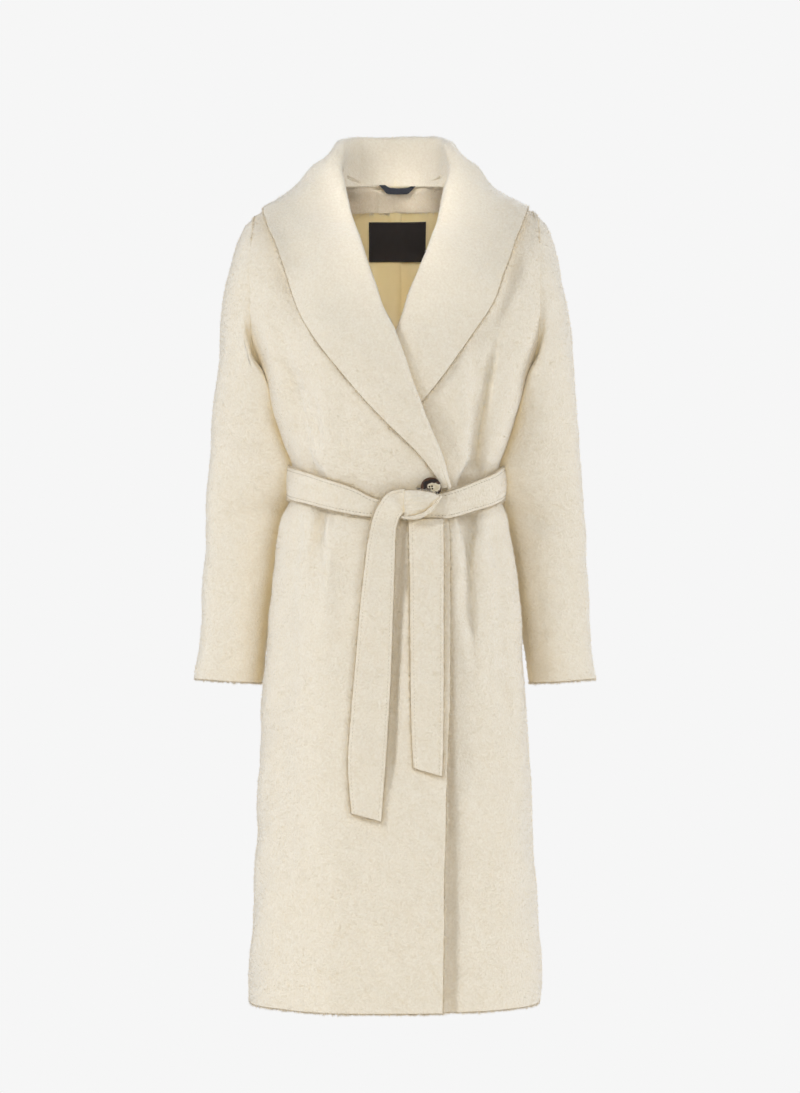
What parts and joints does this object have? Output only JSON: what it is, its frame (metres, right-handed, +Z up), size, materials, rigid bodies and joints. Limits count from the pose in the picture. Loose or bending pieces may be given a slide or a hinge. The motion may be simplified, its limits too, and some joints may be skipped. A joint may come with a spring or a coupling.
{
  "type": "wrap coat",
  "caption": "Long wool wrap coat with a shawl collar, set-in sleeves and a tied belt, hollow and open at the neck, hem and cuffs, in the shape it has when worn.",
  "frame": {"origin": "between the shoulders, level with the neck seam at the nape, where the wearer's shoulders hold the coat up", "axes": "+Z up, +X towards the wearer's left, the front faces -Y"},
  "size_m": [0.57, 0.3453, 1.2324],
  "materials": {
    "cream_wool": "deep-piled wool cloth",
    "cream_satin": "satin",
    "label_black": "woven, matt",
    "loop_navy": "satin ribbon",
    "button_horn": "polished horn"
  },
  "bodies": {
    "root": {"right_front": "cream_wool", "left_front": "cream_wool", "back": "cream_wool", "right_sleeve": "cream_wool", "left_sleeve": "cream_wool", "right_collar": "cream_wool", "left_collar": "cream_wool", "back_neck_facing": "cream_wool", "belt_band": "cream_wool", "belt_knot": "cream_wool", "belt_tail_short": "cream_wool", "belt_tail_long": "cream_wool", "back_lining": "cream_satin", "neck_label": "label_black", "hanger_loop": "loop_navy", "button": "button_horn"}
  },
  "joints": []
}
